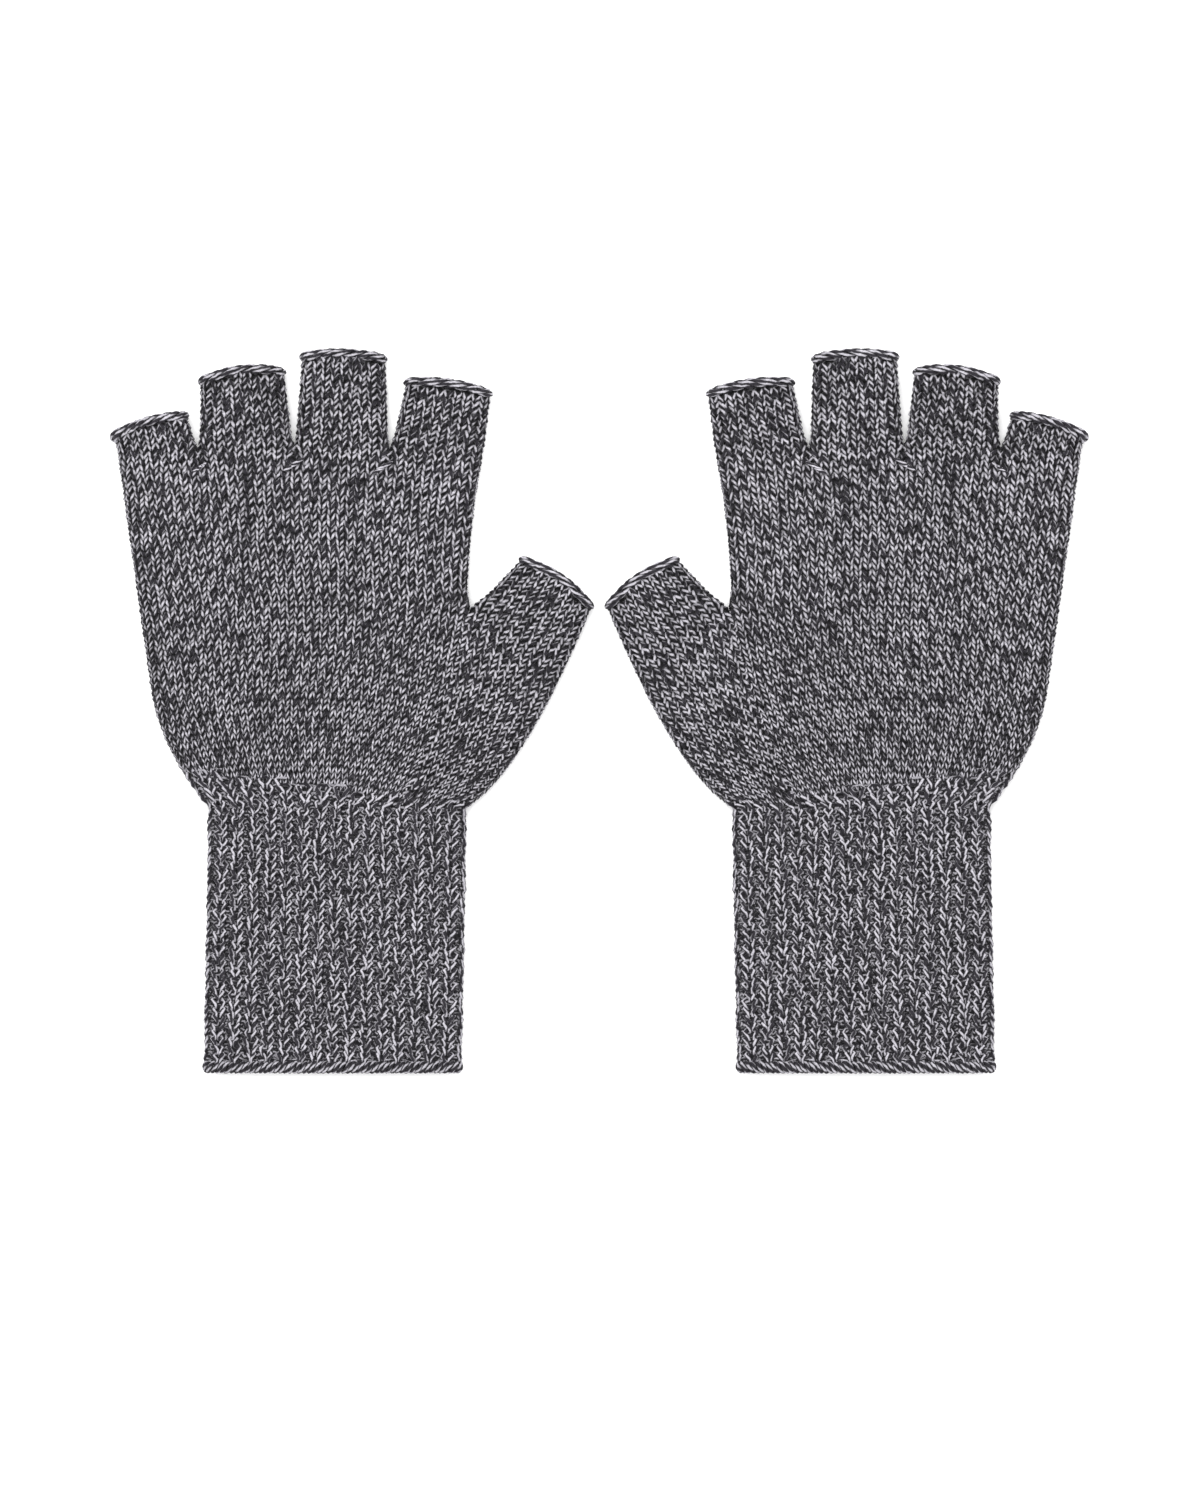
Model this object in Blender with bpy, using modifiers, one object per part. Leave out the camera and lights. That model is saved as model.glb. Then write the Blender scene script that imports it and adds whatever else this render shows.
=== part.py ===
"""A pair of fingerless knitted gloves lying flat side by side, each piece a closed solid.

The drawing of one glove is in millimetres. Its origin is the middle of the wrist line, +X runs
towards the thumb, +Y towards the fingers and +Z up from the table. Each glove is placed as a
mirror image of the other, with the thumbs between them.
"""

import math

import bmesh
import bpy

MM = 0.001

# Placing of the two gloves
WRIST_TO_MIDDLE = 75.0  # from the middle of a wrist to the plane the pair is mirrored in
WRIST_Y = -26.85  # the wrist line, measured from the middle of the pair

# Knitted fabric
FABRIC = 1.7  # one knitted layer
THICK = 8.6  # at the sides of a softly filled tube
GAP = 0.3  # between two pieces that are knitted together
CORNER_STEPS = 8  # facets round the side of a tube
TOP_STEPS = 8  # facets across its pillowed top

# Hand
WRIST_HALF = 37.1
HAND_LENGTH = 98.0
HAND_PILLOW = 1.2
HAND_STEPS = 24
HEEL_HEIGHT = 34.0  # how far up the little-finger side the heel of the hand swells
HEEL_SWELL = 11.2
OUTER_SLOPE = 0.139  # sideways lean of that side, all the way up
INDEX_FLARE = 4.1  # how far the index side leans out above the thumb

# Thumb, outlined by its seam to the hand, its inner side and its round outer side
SEAM_X = 37.3
SEAM_TOP = 54.2
SEAM_BULGE = 8.0  # the hand is made this much too wide there, then cut off at the seam
THUMB_INNER_TIP = (52.5, 70.1)
THUMB_OUTER_TIP = (72.7, 56.4)
THUMB_OUTER_BEND = (52.5, 7.5)
THUMB_STEPS = 14

# Finger stubs: base left, base right, then the two ends of the open tip
FINGERS = {
    "little": {"base": (-61.9, -38.9), "tip": ((-63.2, 105.6), (-42.2, 111.3))},
    "ring": {"base": (-38.5, -11.8), "tip": ((-38.3, 120.6), (-14.6, 123.4))},
    "middle": {"base": (-11.4, 14.8), "tip": ((-10.0, 127.9), (14.2, 127.3))},
    "index": {"base": (15.2, 41.4), "tip": ((20.0, 120.6), (44.0, 117.2))},
}
FINGER_PILLOW = 0.8
FINGER_STEPS = 5

# Cuff and the hem at its end
CUFF_LENGTH = 72.4
CUFF_LEAN = -1.4  # the cuff drifts sideways by this much over its length
CUFF_PILLOW = 1.2
CUFF_STEPS = 10
HEM_LENGTH = 4.0
HEM_FABRIC = 2.1
HEM_STEPS = 2

# Bound-off edges and the tacks at the finger crotches
CORD_RADIUS = 1.1
CORD_STEPS = 3  # quarter-circle facets of a cord
CORD_LIFT = 0.05  # keeps a cord just clear of the table
TACK_LENGTH = 3.4
TACK_RADIUS = 0.6
TACK_BACK = 1.8  # from the finger line towards the wrist
TACK_SIDES = 12
TACK_BEVEL = 0.25

# Yarns: base colour, roughness
HAND_YARN = ((0.150, 0.146, 0.160), 0.92)
CUFF_YARN = ((0.140, 0.136, 0.150), 0.93)
CORD_YARN = ((0.200, 0.195, 0.210), 0.90)
TACK_YARN = ((0.330, 0.325, 0.340), 0.90)

HINGE_HEIGHT = THICK + HAND_PILLOW


def clear_scene():
    for obj in list(bpy.data.objects):
        bpy.data.objects.remove(obj, do_unlink=True)


def new_collection(name, hidden):
    collection = bpy.data.collections.new(name)
    collection.hide_render = hidden
    bpy.context.scene.collection.children.link(collection)
    return collection


def new_material(name, yarn):
    colour, roughness = yarn
    material = bpy.data.materials.new(name)
    material.use_nodes = True
    shader = material.node_tree.nodes["Principled BSDF"]
    shader.inputs["Base Color"].default_value = (*colour, 1.0)
    shader.inputs["Roughness"].default_value = roughness
    shader.inputs["Metallic"].default_value = 0.0
    return material


def mix(a, b, t):
    """The point a share t of the way from a to b."""
    return tuple(p + (q - p) * t for p, q in zip(a, b))


def bend(start, corner, end, t):
    """A point on the curve that leaves start towards corner and reaches end coming from it."""
    return mix(mix(start, corner, t), mix(corner, end, t), t)


def section(width, height, pillow, inset):
    """Points (across, up) round a tube lying on a table: flat below, round sides, pillowed top."""
    radius = height / 2 - inset
    middle = height / 2
    left = height / 2
    right = width - height / 2
    points = []
    for step in range(CORNER_STEPS + 1):
        angle = -math.pi / 2 + math.pi * step / CORNER_STEPS
        points.append((right + radius * math.cos(angle), middle + radius * math.sin(angle)))
    for step in range(1, TOP_STEPS):
        share = step / TOP_STEPS
        across = right + (left - right) * share
        points.append((across, middle + radius + pillow * math.sin(math.pi * share)))
    for step in range(CORNER_STEPS + 1):
        angle = math.pi / 2 + math.pi * step / CORNER_STEPS
        points.append((left + radius * math.cos(angle), middle + radius * math.sin(angle)))
    return points


def ring_points(left, right, height, pillow, inset):
    """The section stood on the line from left to right, as (x, y, z) points of the glove."""
    width = math.dist(left, right)
    return [
        (*mix(left, right, across / width), up)
        for across, up in section(width, height, pillow, inset)
    ]


def tube_mesh(name, stations, pillow, fabric):
    """A closed tube wall through the stations, each a (left, right) pair, open at both ends."""
    mesh = bmesh.new()
    walls = []
    for inset in (0.0, fabric):
        rings = []
        for left, right in stations:
            points = ring_points(left, right, THICK, pillow, inset)
            rings.append([mesh.verts.new(point) for point in points])
        walls.append(rings)
    outer, inner = walls
    bands = list(zip(outer, outer[1:])) + list(zip(inner, inner[1:]))
    bands += [(outer[0], inner[0]), (outer[-1], inner[-1])]
    for first, second in bands:
        count = len(first)
        for index in range(count):
            after = (index + 1) % count
            mesh.faces.new((first[index], first[after], second[after], second[index]))
    bmesh.ops.recalc_face_normals(mesh, faces=mesh.faces)
    data = bpy.data.meshes.new(name)
    mesh.to_mesh(data)
    mesh.free()
    return data


def place(obj, side, pivot=(0.0, 0.0, 0.0)):
    """Moves a drawing in glove millimetres to its glove, with the object's origin at pivot."""
    mirror = -side  # the left glove, side -1, keeps the drawing's own direction
    data = obj.data
    for vertex in data.vertices:
        vertex.co.x = (vertex.co.x - pivot[0]) * mirror * MM
        vertex.co.y = (vertex.co.y - pivot[1]) * MM
        vertex.co.z = (vertex.co.z - pivot[2]) * MM
    if mirror < 0:
        data.flip_normals()
    obj.location = (
        (side * WRIST_TO_MIDDLE + mirror * pivot[0]) * MM,
        (WRIST_Y + pivot[1]) * MM,
        pivot[2] * MM,
    )


def new_piece(name, data, collection, yarn):
    obj = bpy.data.objects.new(name, data)
    collection.objects.link(obj)
    data.materials.append(new_material(name + "_yarn", yarn))
    return obj


def hand_outer(y):
    """Little-finger side of the hand: it swells out of the wrist and then runs nearly straight."""
    rise = min(y, HEEL_HEIGHT) / HEEL_HEIGHT
    swell = HEEL_SWELL * (1 - (1 - rise) ** 2)
    return (-(WRIST_HALF + swell + OUTER_SLOPE * y), y)


def hand_inner(y):
    """Thumb side of the hand, drawn past the thumb seam and leaning out above it."""
    if y < SEAM_TOP:
        return (SEAM_X + SEAM_BULGE * math.sin(math.pi * y / SEAM_TOP), y)
    share = (y - SEAM_TOP) / (HAND_LENGTH - SEAM_TOP)
    return (SEAM_X + INDEX_FLARE * share**2, y)


def cut_thumb_hole(hand, side, cutters):
    """Cuts the hand off along the thumb seam, which leaves its tube open there."""
    bpy.ops.mesh.primitive_cube_add(size=1.0)
    cutter = bpy.context.object
    cutter.name = hand.name + "_thumb_cut"
    for collection in list(cutter.users_collection):
        collection.objects.unlink(cutter)
    cutters.objects.link(cutter)
    depth = 2 * SEAM_BULGE
    cutter.scale = (depth * MM, SEAM_TOP * MM, 4 * THICK * MM)
    cutter.location = (
        side * (WRIST_TO_MIDDLE - SEAM_X - depth / 2) * MM,
        (WRIST_Y + SEAM_TOP / 2) * MM,
        0.0,
    )
    cutter.display_type = "WIRE"
    cutter.hide_render = True
    cut = hand.modifiers.new("thumb_hole", "BOOLEAN")
    cut.operation = "DIFFERENCE"
    cut.solver = "EXACT"
    cut.object = cutter


def make_hand(side, label, parts, cutters):
    heights = [HAND_LENGTH * step / HAND_STEPS for step in range(HAND_STEPS + 1)]
    stations = [(hand_outer(y), hand_inner(y)) for y in heights]
    name = f"{label}_hand"
    data = tube_mesh(name, stations, HAND_PILLOW, FABRIC)
    hand = new_piece(name, data, parts, HAND_YARN)
    place(hand, side)
    cut_thumb_hole(hand, side, cutters)


def cuff_station(distance):
    """Both sides of the cuff, this far below the wrist."""
    drift = CUFF_LEAN * distance / (CUFF_LENGTH + HEM_LENGTH)
    return ((drift - WRIST_HALF, -distance), (drift + WRIST_HALF, -distance))


def make_cuff(side, label, parts):
    pivot = (0.0, -GAP / 2, HINGE_HEIGHT)
    end = CUFF_LENGTH
    pieces = (
        ("cuff", GAP, end, CUFF_STEPS, FABRIC),
        ("hem", end + GAP, end + GAP + HEM_LENGTH, HEM_STEPS, HEM_FABRIC),
    )
    for word, start, stop, steps, fabric in pieces:
        distances = [start + (stop - start) * step / steps for step in range(steps + 1)]
        stations = [cuff_station(distance) for distance in distances]
        name = f"{label}_{word}"
        data = tube_mesh(name, stations, CUFF_PILLOW, fabric)
        place(new_piece(name, data, parts, CUFF_YARN), side, pivot)


def make_edge_cord(name, side, ends, pivot, parts):
    """The bound-off edge: a round cord laid along the open mouth of a stub."""
    left, right = ends
    inset = CORD_RADIUS + CORD_LIFT
    across = (right[0] - left[0], right[1] - left[1])
    length = math.hypot(*across)
    outward = (-across[1] / length, across[0] / length)
    step_out = GAP + CORD_RADIUS
    path = [
        (x + outward[0] * step_out, y + outward[1] * step_out, z)
        for x, y, z in ring_points(left, right, THICK, FINGER_PILLOW, inset)
    ]
    curve = bpy.data.curves.new(name, "CURVE")
    curve.dimensions = "3D"
    curve.bevel_depth = CORD_RADIUS
    curve.bevel_resolution = CORD_STEPS
    spline = curve.splines.new("POLY")
    spline.points.add(len(path) - 1)
    for point, place_at in zip(spline.points, path):
        point.co = (*place_at, 1.0)
    spline.use_cyclic_u = True
    drawing = bpy.data.objects.new(name + "_path", curve)
    bpy.context.scene.collection.objects.link(drawing)
    graph = bpy.context.evaluated_depsgraph_get()
    data = bpy.data.meshes.new_from_object(drawing.evaluated_get(graph))
    data.name = name
    data.materials.clear()
    bpy.data.objects.remove(drawing, do_unlink=True)
    place(new_piece(name, data, parts, CORD_YARN), side, pivot)


def make_stub(side, label, finger, parts):
    """One finger stub, hinged on the finger line at the height of the hand's top."""
    start = HAND_LENGTH + GAP
    base_left, base_right = finger["base"]
    tip_left, tip_right = finger["tip"]
    stations = []
    for step in range(FINGER_STEPS + 1):
        share = step / FINGER_STEPS
        left = mix((base_left, start), tip_left, share)
        right = mix((base_right, start), tip_right, share)
        stations.append((left, right))
    pivot = ((base_left + base_right) / 2, HAND_LENGTH + GAP / 2, HINGE_HEIGHT)
    data = tube_mesh(label, stations, FINGER_PILLOW, FABRIC)
    place(new_piece(label, data, parts, HAND_YARN), side, pivot)
    make_edge_cord(label + "_edge", side, finger["tip"], pivot, parts)


def make_thumb(side, label, parts):
    """The thumb, from its upright seam in the side of the hand to its slanted mouth."""
    seam = SEAM_X + GAP
    stations = []
    for step in range(THUMB_STEPS + 1):
        share = step / THUMB_STEPS
        left = mix((seam, SEAM_TOP), THUMB_INNER_TIP, share)
        right = bend((seam, 0.0), THUMB_OUTER_BEND, THUMB_OUTER_TIP, share)
        stations.append((left, right))
    pivot = (SEAM_X + GAP / 2, SEAM_TOP / 2, HINGE_HEIGHT)
    name = f"{label}_thumb"
    data = tube_mesh(name, stations, FINGER_PILLOW, FABRIC)
    place(new_piece(name, data, parts, HAND_YARN), side, pivot)
    mouth = (THUMB_INNER_TIP, THUMB_OUTER_TIP)
    make_edge_cord(name + "_edge", side, mouth, pivot, parts)


def make_tack(name, side, x, parts):
    """A short round bar of thread over the crotch between two stubs."""
    bpy.ops.mesh.primitive_cylinder_add(vertices=TACK_SIDES, radius=1.0, depth=1.0)
    tack = bpy.context.object
    tack.name = name
    tack.data.name = name
    for collection in list(tack.users_collection):
        collection.objects.unlink(tack)
    parts.objects.link(tack)
    tack.data.materials.append(new_material(name + "_yarn", TACK_YARN))
    tack.rotation_euler = (0.0, math.pi / 2, 0.0)
    tack.scale = (TACK_RADIUS * MM, TACK_RADIUS * MM, TACK_LENGTH * MM)
    tack.location = (
        side * (WRIST_TO_MIDDLE - x) * MM,
        (WRIST_Y + HAND_LENGTH - TACK_BACK) * MM,
        (HINGE_HEIGHT + GAP + TACK_RADIUS) * MM,
    )
    bpy.context.view_layer.update()
    bpy.ops.object.select_all(action="DESELECT")
    tack.select_set(True)
    bpy.context.view_layer.objects.active = tack
    bpy.ops.object.transform_apply(location=False, rotation=True, scale=True)
    ends = tack.modifiers.new("rounded_ends", "BEVEL")
    ends.width = TACK_BEVEL * MM
    ends.segments = 2


def make_glove(side, label, parts, cutters):
    make_hand(side, label, parts, cutters)
    make_cuff(side, label, parts)
    make_thumb(side, label, parts)
    for word, finger in FINGERS.items():
        make_stub(side, f"{label}_{word}", finger, parts)
    names = list(FINGERS)
    for first, second in zip(names, names[1:]):
        x = (FINGERS[first]["base"][1] + FINGERS[second]["base"][0]) / 2
        make_tack(f"{label}_{first}_{second}_tack", side, x, parts)


clear_scene()
PARTS = new_collection("fingerless_gloves", hidden=False)
CUTTERS = new_collection("cutters", hidden=True)
for glove_side, glove_label in ((-1, "left"), (1, "right")):
    make_glove(glove_side, glove_label, PARTS, CUTTERS)
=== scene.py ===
import math

import bpy
import numpy as np
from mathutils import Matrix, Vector


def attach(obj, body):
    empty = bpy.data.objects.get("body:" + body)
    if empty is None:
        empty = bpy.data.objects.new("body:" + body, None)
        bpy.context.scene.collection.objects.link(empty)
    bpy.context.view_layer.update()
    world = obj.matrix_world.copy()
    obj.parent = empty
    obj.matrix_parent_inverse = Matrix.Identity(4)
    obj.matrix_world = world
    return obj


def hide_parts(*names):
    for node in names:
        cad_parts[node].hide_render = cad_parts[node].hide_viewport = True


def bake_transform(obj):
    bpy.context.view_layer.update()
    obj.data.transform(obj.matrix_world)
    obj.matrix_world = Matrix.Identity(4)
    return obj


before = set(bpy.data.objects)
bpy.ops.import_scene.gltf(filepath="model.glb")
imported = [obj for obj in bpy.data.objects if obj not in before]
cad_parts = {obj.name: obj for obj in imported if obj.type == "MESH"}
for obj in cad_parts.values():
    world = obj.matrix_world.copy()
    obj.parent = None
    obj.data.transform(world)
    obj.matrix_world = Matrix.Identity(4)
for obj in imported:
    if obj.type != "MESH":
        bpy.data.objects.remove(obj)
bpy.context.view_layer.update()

MM = 0.001
TINY = 1e-6

# Random seeds. Each finger and each tack adds its own order to its seed.
SEEDS = {
    "hand_top": 7,
    "hand_under": 8,
    "finger": 17,
    "thumb": 27,
    "finger_edge": 37,
    "thumb_edge": 42,
    "cuff": 47,
    "hem": 57,
    "thread": 58,
    "tack": 67,
}

# One glove is drawn in millimetres, as in the CAD: the origin is the middle of the wrist line,
# +X runs towards the thumb and +Y towards the fingers. The right glove mirrors the left one.
WRIST_TO_MIDDLE = 75.0
WRIST_Y = -26.85
HAND_LENGTH = 98.0
WRIST_HALF = 37.1
HEEL_HEIGHT = 34.0
HEEL_SWELL = 11.2
OUTER_SLOPE = 0.139
SEAM_X = 37.3
SEAM_TOP = 54.2
INDEX_FLARE = 4.1
WRIST_NOTCH = (0.7, 6.0)

# A tube of fabric, measured on the middle of its knitted layer. A side that is joined to its
# neighbour has a sharp corner, which rounds off over CORNER_EASE above the crotch.
LAYER_LOW = 1.15
LAYER_HIGH = 5.7
PILLOW = 1.1
SIDE_INSET = 0.9
JOINED_CORNER = 0.3
CORNER_EASE = 8.0

# Rows of the hand run over an arch, whose top is a little towards the ring finger. ARCH_ROOM is
# for the rows that start above the hand and drop into it at its sides.
ARCH = 0.00316
ARCH_X = -7.3
ARCH_ROOM = 12

# The height of a point on a row is found in a few steps, from a guess this far below the row.
# A finger's rows lean towards its slanting tip, and go on leaning a little past it.
ROW_GUESS = 3.0
ROW_STEPS = 5
CLOTH_STEPS = 4
PAST_TIP = 1.2

# Plain knit of the hand: loop width is in wales, loop height in rows, loop depth in millimetres,
# and the wander of each is how unevenly the loops are drawn up
HAND_WALES = 78
ROW = 1.75
YARN = 0.6
HAND_LOOP = (0.3, 1.65, 0.58)
HAND_WANDER = (0.04, 0.07, 0.08)
TOP_DETAIL = (10, 6)
UNDER_DETAIL = (8, 5)
TUBE_DETAIL = (9, 6)

# A yarn has its full radius where a wale is USUAL_WALE wide. It is thinner where wales crowd together
# and thicker where they spread, within YARN_SHARES, and it is uneven by YARN_UNEVEN everywhere.
USUAL_WALE = 2.5
YARN_SHARES = (0.68, 1.08)
YARN_UNEVEN = 0.05
FURTHEST_START = 40

# The yarn has light and dark plies. Most loops show a light ply along each leg, and the legs
# that lean against the twist turn their dark side out more often than those that lean with it.
DARK_PLY = (0.018, 0.0165, 0.0205)
LIGHT_PLY = (0.338, 0.328, 0.358)
LIGHT_PLIES = 2
LEG_TWIST = 1.0
EDGE_TWIST = 3.6
HEM_TWIST = 2.4
HALF_TWIST = 0.5
DARK_LEGS = (0.33, 0.15)
CUFF_DARK_LEGS = (0.5, 0.12)

# Along a row the twist swings by PLY_SWING over a run of PLY_RUN legs. It starts two legs further
# on in each row, give or take RUN_SHIFT legs, and each leg is off by PLY_JITTER of its own.
PLY_SWING = 0.13
PLY_RUN = 15.0
RUN_LEAN = 2
RUN_SHIFT = 2
PLY_JITTER = 0.2

# One-by-one rib of the cuff: every other wale is turned away and lies deeper and narrower
CUFF_WALES = 64
CUFF_ROW = 2.17
CUFF_YARN = 0.62
CUFF_LOOP = (0.29, 1.65, 0.55)
CUFF_WANDER = (0.09, 0.14, 0.12)
RIB_DEPTH = 0.42
RIB_SQUEEZE = 0.72
TURNED_PAIRS = 0.3
CUFF_LOW = 1.7
CUFF_HIGH = 5.2
CUFF_LENGTH = 72.7
CUFF_OVERLAP = 1.0
HEM_OVERLAP = 0.6
CUFF_LEAN = -1.4
HEM_LENGTH = 4.0

# The two knits: row height, yarn radius, loop and wander
PLAIN_KNIT = (ROW, YARN, HAND_LOOP, HAND_WANDER)
RIB_KNIT = (CUFF_ROW, CUFF_YARN, CUFF_LOOP, CUFF_WANDER)

# The ribs rise above the wrist line by RIB_RISE at most, on the side by the little finger,
# and by the share RIB_LEAST of it at least, on the thumb's side
RIB_RISE = 9.0
RIB_LEAN_X = 6.0
RIB_LEAST = 0.12

# Thumb. Its seam leaves the wrist line at THUMB_START and ends at THUMB_CROTCH of the way up the thumb.
THUMB_WALES = 23
THUMB_ROWS = 43
THUMB_START = 18.0
SEAM_LEAN = 0.18
THUMB_CROTCH = 0.71
THUMB_EASE = 0.12
THUMB_OUTER_PACE = 0.77
THUMB_INNER_TIP = (52.5, 70.1)
THUMB_OUTER_TIP = (72.7, 56.4)
THUMB_OUTER_BEND = (52.5, 7.5)
THUMB_DOME = 2.0

# Ropes of strands round a mouth: how far the strands stand out and up, the length of one turn,
# the strands' radius, and the points of a turn with the corners of a strand. The thread is the
# line of stitches above the hem.
EDGE_ROPE = {"reach": (1.1, 0.95), "strands": 4, "pitch": 13.0, "yarn": 0.56, "detail": (14, 7)}
HEM_ROPE = {"reach": (0.85, 1.35), "strands": 3, "pitch": 4.2, "yarn": 0.58, "detail": (12, 7)}
THREAD_ROPE = {"reach": (0.15, 0.3), "strands": 1, "pitch": 9.0, "yarn": 0.42, "detail": (8, 7)}
RIM_POINTS = 1600
STRAND_WANDER = 0.12
WANDER_POINTS = 4
CURL_REACH = 0.075
CURL_DROP = 1.2
EDGE_COVER = 1.5
HEM_LIFT = 0.4
THREAD_LIFT = 0.5

# Short strands tacked across each crotch: their middle and how proud of the fabric they lie.
# TACK_STEP runs from one strand to the next and TACK_HALF from a strand's middle to its end.
TACKS = {
    "little_ring": {"middle": (-38.8, 96.2), "proud": 0.1},
    "ring_middle": {"middle": (-11.9, 97.2), "proud": 1.6},
    "middle_index": {"middle": (13.3, 96.3), "proud": 1.6},
}
TACK_STRANDS = 3
TACK_STEP = (1.15, 0.75)
TACK_HALF = (1.9, 1.0)
TACK_BOW = 0.5
TACK_TAPER = 0.9
TACK_RADIUS = 0.48
TACK_WANDER = 0.3
TACK_POINTS = 17
TACK_SIDES = 6

# Finger stubs: both ends of the base and of the slanting tip, the wales round the stub, how far the
# tip bulges at its middle, and how much its bound edge swells at its outer end
FINGERS = {
    "little": {
        "base": (-61.9, -38.8),
        "tip": ((-63.2, 105.6), (-42.6, 111.3)),
        "wales": 19,
        "dome": 1.2,
        "curl": 0.6,
    },
    "ring": {
        "base": (-38.8, -11.9),
        "tip": ((-38.7, 120.8), (-15.0, 123.6)),
        "wales": 20,
        "dome": 2.0,
        "curl": 0.1,
    },
    "middle": {
        "base": (-11.9, 14.9),
        "tip": ((-9.8, 127.9), (14.0, 127.3)),
        "wales": 20,
        "dome": 1.3,
        "curl": 0.1,
    },
    "index": {
        "base": (14.9, 41.4),
        "tip": ((20.0, 120.6), (44.0, 117.2)),
        "wales": 20,
        "dome": 1.5,
        "curl": 0.1,
    },
}

# Linings: the lowest and highest ring of each and their number, how deep the outer face lies below
# the middle of the fabric, the thickness, the points of a ring, and those of a ring that is measured.
# On the hand and the cuff a ring's place is a height, and on the fingers and thumb a share of the way.
HAND_LINING = (0.3, HAND_LENGTH - 0.2, 50)
THUMB_LINING = (0.01, 0.985, 44)
FINGER_LINING = (0.01, 0.95, 24)
CUFF_LINING = (-CUFF_LENGTH - 2, -0.3, 30)
LINING_DEPTH = 0.45
CUFF_LINING_DEPTH = 0.7
LINING_THICKNESS = 0.4
LINING_POINTS = 72
MEASURE_POINTS = 73

# Looks. LIGHT_FROM_WAVE is where the wave over the plies turns from the dark to the light colour.
# Tones and painted shading are shares of a yarn's colour. Each look has the crown range over which the
# painted shade of the hollows turns to painted light on the crown, and the shares at both ends of it.
LIGHT_FROM_WAVE = (-0.12, 0.95)
NOISE_SPAN = (0.3, 0.7)
FIBRE_SHADES = (0.7, 1.25)
MOTTLE_SHADES = (0.92, 1.08)
RIDGE_HEIGHT = 0.6
YARN_ROUGHNESS = (0.78, 0.98)
# The linings' near-black colours are painted shade, standing in for the shade inside the glove.
SHADE_LINING_COLOURS = ((0.010, 0.0095, 0.011), (0.045, 0.043, 0.049))
YARNS = {
    "hand_yarn": {"twist": LEG_TWIST, "crown": (0.68, 1.0), "painted_shading": (0.13, 1.2)},
    "cuff_yarn": {"twist": LEG_TWIST, "crown": (0.5, 0.97), "painted_shading": (0.36, 1.15)},
    "edge_yarn": {"twist": EDGE_TWIST, "crown": (0.3, 0.85), "painted_shading": (0.7, 1.18)},
    "hem_yarn": {"twist": HEM_TWIST, "crown": (0.4, 0.9), "painted_shading": (0.5, 1.05)},
    "tack_yarn": {"twist": EDGE_TWIST, "crown": (0.3, 0.8), "painted_shading": (0.4, 1.3)},
}

# Studio, in metres and watts
CAMERA_PLACE = (0.0002, -0.0109, 2.005)
CAMERA_LENS = 168.4
CAMERA_SENSOR = 36
KEY_LIGHT = {"place": (-0.25, 0.45, 1.9), "size": 1.6, "power": 44}
FILL_LIGHT = {"place": (0.5, -0.3, 1.8), "size": 1.6, "power": 6}
FLOOR_REACH = 4.0
FLOOR_DROP = 0.0006
FLOOR_GREY = (0.97, 0.97, 0.97, 1)
FLOOR_ROUGHNESS = 0.9
SKY_WHITE = (1, 1, 1, 1)
SKY_STRENGTH = 1.0


# ---------------------------------------------------------------- surfaces


def unit(vectors):
    never_zero = 1e-12
    return vectors / (np.linalg.norm(vectors, axis=-1, keepdims=True) + never_zero)


def smooth(x):
    x = np.clip(x, 0.0, 1.0)
    return x * x * (3 - 2 * x)


def rounded_section(share, width, height, radii, walls):
    """(across, up) at a share of the way round a rounded box, from its left side over the top.

    radii are the left and right corners, and walls says how much of each side wall counts.
    """
    left, right = (np.maximum(r, TINY) for r in radii)
    half_left = height / 2 - left
    straight = width - left - right
    quarter = math.pi / 2
    lengths = [
        half_left * walls[0],
        quarter * left,
        straight,
        quarter * right,
        (height - 2 * right) * walls[1],
        quarter * right,
        straight,
        quarter * left,
        half_left * walls[0],
    ]
    zero = np.zeros(np.broadcast(share, width, left, right).shape)
    lengths = [zero + piece for piece in lengths]
    ends = np.cumsum(np.stack(lengths), axis=0)
    way = np.mod(share, 1.0) * ends[-1]
    at = [way - end + length for end, length in zip(ends, lengths)]
    inside = [way <= end for end in ends]
    wall_left = np.maximum(walls[0], TINY)
    wall_right = np.maximum(walls[1], TINY)
    across = [
        zero,
        left * (1 - np.cos(at[1] / left)),
        left + at[2],
        width - right * (1 - np.sin(at[3] / right)),
        width + zero,
        width - right * (1 - np.cos(at[5] / right)),
        width - right - at[6],
        left * (1 - np.sin(at[7] / left)),
        zero,
    ]
    up = [
        height / 2 + at[0] / wall_left,
        height - left * (1 - np.sin(at[1] / left)),
        height + zero,
        height - right * (1 - np.cos(at[3] / right)),
        height - right - at[4] / wall_right,
        right * (1 - np.sin(at[5] / right)),
        zero,
        left * (1 - np.cos(at[7] / left)),
        left + at[8] / wall_left,
    ]
    return np.select(inside, across, 0.0), np.select(inside, up, height / 2)


def tube_point(share, left, right, joined, low=LAYER_LOW, high=LAYER_HIGH):
    """A point on the middle of the fabric of a tube that spans from left to right.

    joined says how far each side runs on into its neighbour's fabric, from 0 to 1.
    """
    joined = [j + 0.0 * share for j in joined]
    span_x = right[0] - left[0]
    span_y = right[1] - left[1]
    width = np.hypot(span_x, span_y)
    inset = [SIDE_INSET * (1 - j) for j in joined]
    inner = width - inset[0] - inset[1]
    radii = [JOINED_CORNER + (high / 2 - JOINED_CORNER) * (1 - j) for j in joined]
    across, up = rounded_section(share, inner, high, radii, [1 - j for j in joined])
    part = across / inner
    part = part * (1 - joined[0] / 2 - joined[1] / 2) + joined[0] / 2
    crown = PILLOW * np.sin(math.pi * np.clip(part, 0, 1)) * up / high
    x = left[0] + span_x / width * (inset[0] + across)
    y = left[1] + span_y / width * (inset[0] + across)
    return np.stack([x, y, low + up + crown], axis=-1)


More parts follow.
